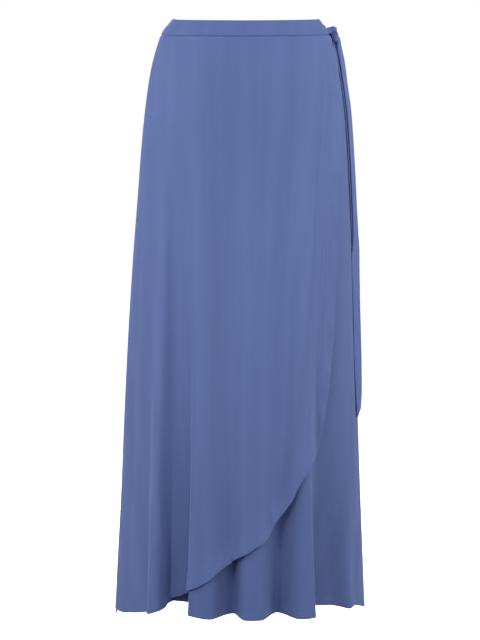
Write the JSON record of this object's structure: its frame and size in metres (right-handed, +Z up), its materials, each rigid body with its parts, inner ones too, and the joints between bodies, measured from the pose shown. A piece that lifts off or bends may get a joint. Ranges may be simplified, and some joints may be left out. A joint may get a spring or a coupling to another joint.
{
  "type": "wrap skirt",
  "caption": "Floor-length jersey wrap skirt in worn shape, with a curved wrap edge, soft hem folds, a narrow waistband and ties knotted at one side.",
  "frame": {"origin": "middle of the waist opening, half way up the waistband at its sides", "axes": "+Z up out of the waist, -Y out of the front, +X to the side with the knot, which is the wearer's left"},
  "size_m": [0.4024, 0.3745, 0.9552],
  "materials": {
    "jersey": "matt jersey knit"
  },
  "bodies": {
    "root": {"back_panel": "jersey", "front_under": "jersey", "front_over": "jersey", "waistband_back": "jersey", "waistband_front_under": "jersey", "waistband_front_over": "jersey", "tie_front": "jersey", "tie_back": "jersey"}
  },
  "joints": []
}
